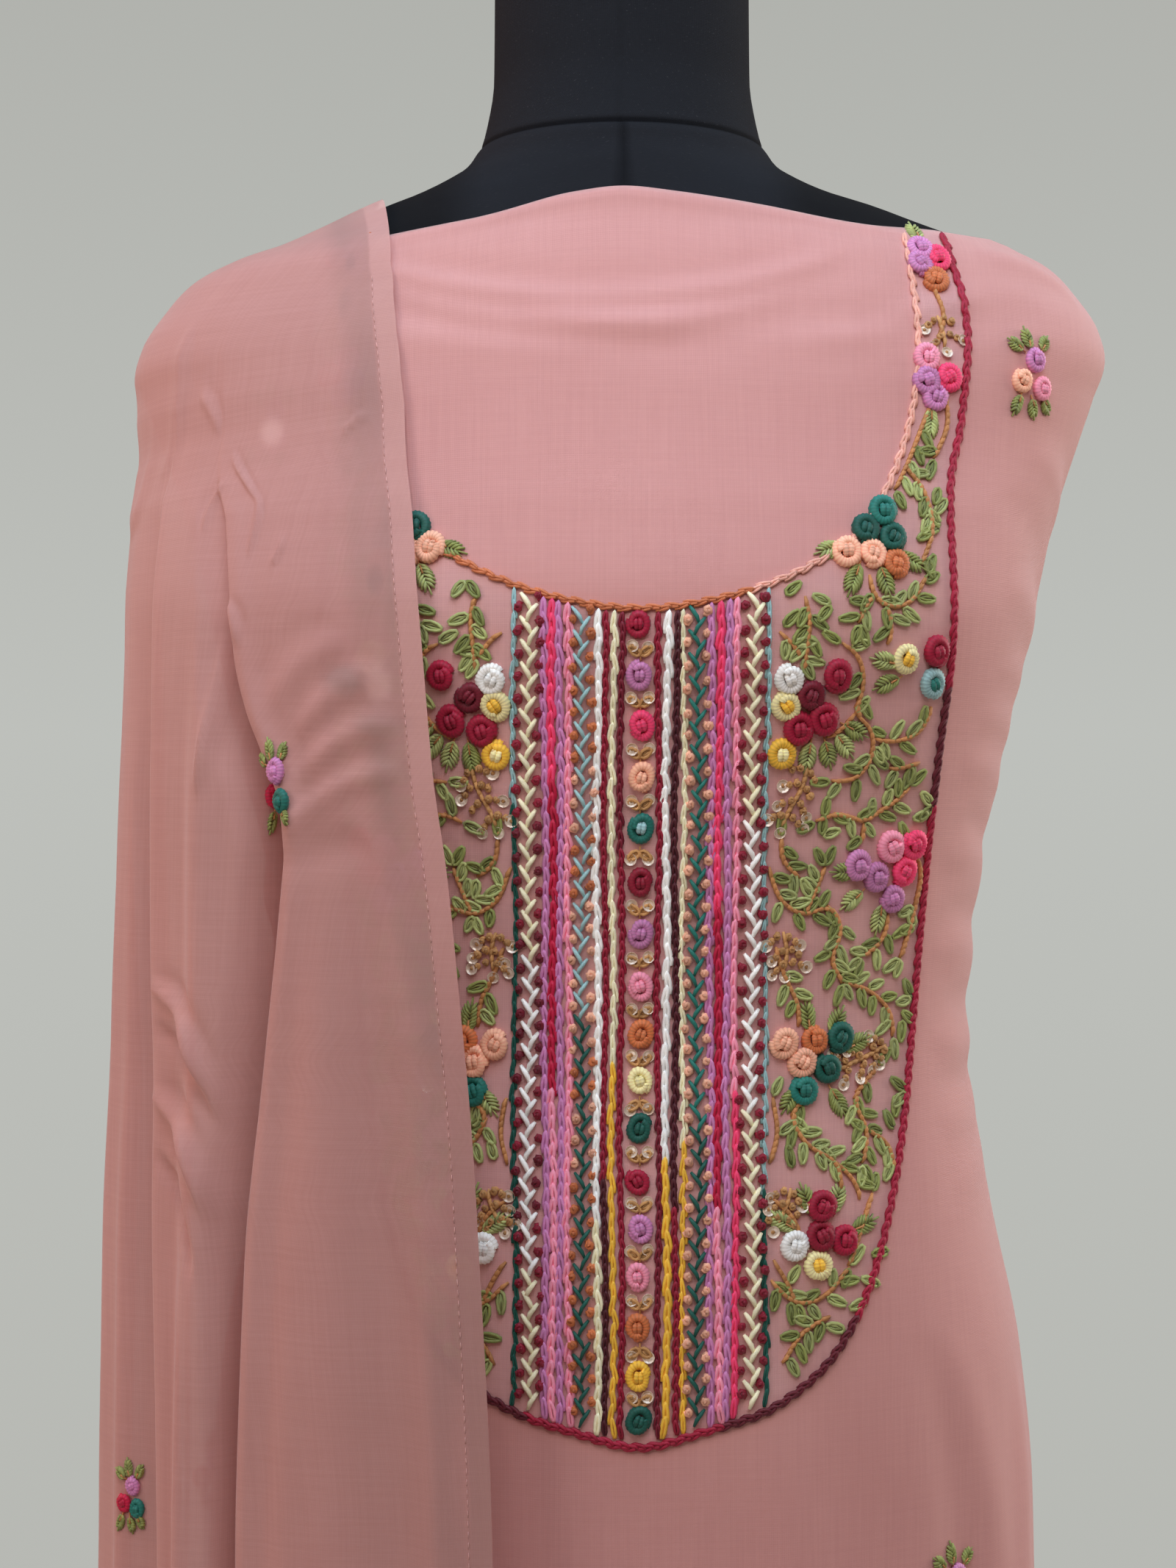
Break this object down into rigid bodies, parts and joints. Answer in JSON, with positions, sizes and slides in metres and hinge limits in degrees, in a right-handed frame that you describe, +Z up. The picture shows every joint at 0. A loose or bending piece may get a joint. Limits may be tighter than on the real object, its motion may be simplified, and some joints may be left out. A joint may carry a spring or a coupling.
{
  "type": "salwar kameez suit on a dress form",
  "caption": "Limbless dress form on a round base wearing a long kameez with an embroidered yoke, a dupatta over the shoulder and a plain salwar.",
  "frame": {"origin": "middle of the round base's underside, under the pole", "axes": "+Z up along the pole, the front faces -Y, the dupatta lies over the shoulder at -X"},
  "size_m": [0.4682, 0.3531, 1.4992],
  "materials": {
    "jersey": "black stretch jersey, matte",
    "enamel": "black enamel, semi-gloss",
    "santoon": "plain peach-pink dress cloth, soft sheen",
    "georgette": "dusty peach-pink georgette, fine crepe weave",
    "chiffon": "sheer peach-pink chiffon",
    "embroidery_thread": "mercerised cotton embroidery thread in many colours",
    "sequin": "small gold sequins"
  },
  "bodies": {
    "root": {"form_body": "jersey", "form_neck_cap": "enamel", "stand_pole": "enamel", "stand_base": "enamel", "salwar_belt": "santoon", "salwar_leg_left": "santoon", "salwar_leg_right": "santoon", "salwar_cuff_left": "santoon", "salwar_cuff_right": "santoon", "kameez_front": "georgette", "kameez_back": "georgette", "dupatta_shoulder": "chiffon", "dupatta_front_fall": "chiffon", "dupatta_back_fall": "chiffon"}
  },
  "joints": []
}
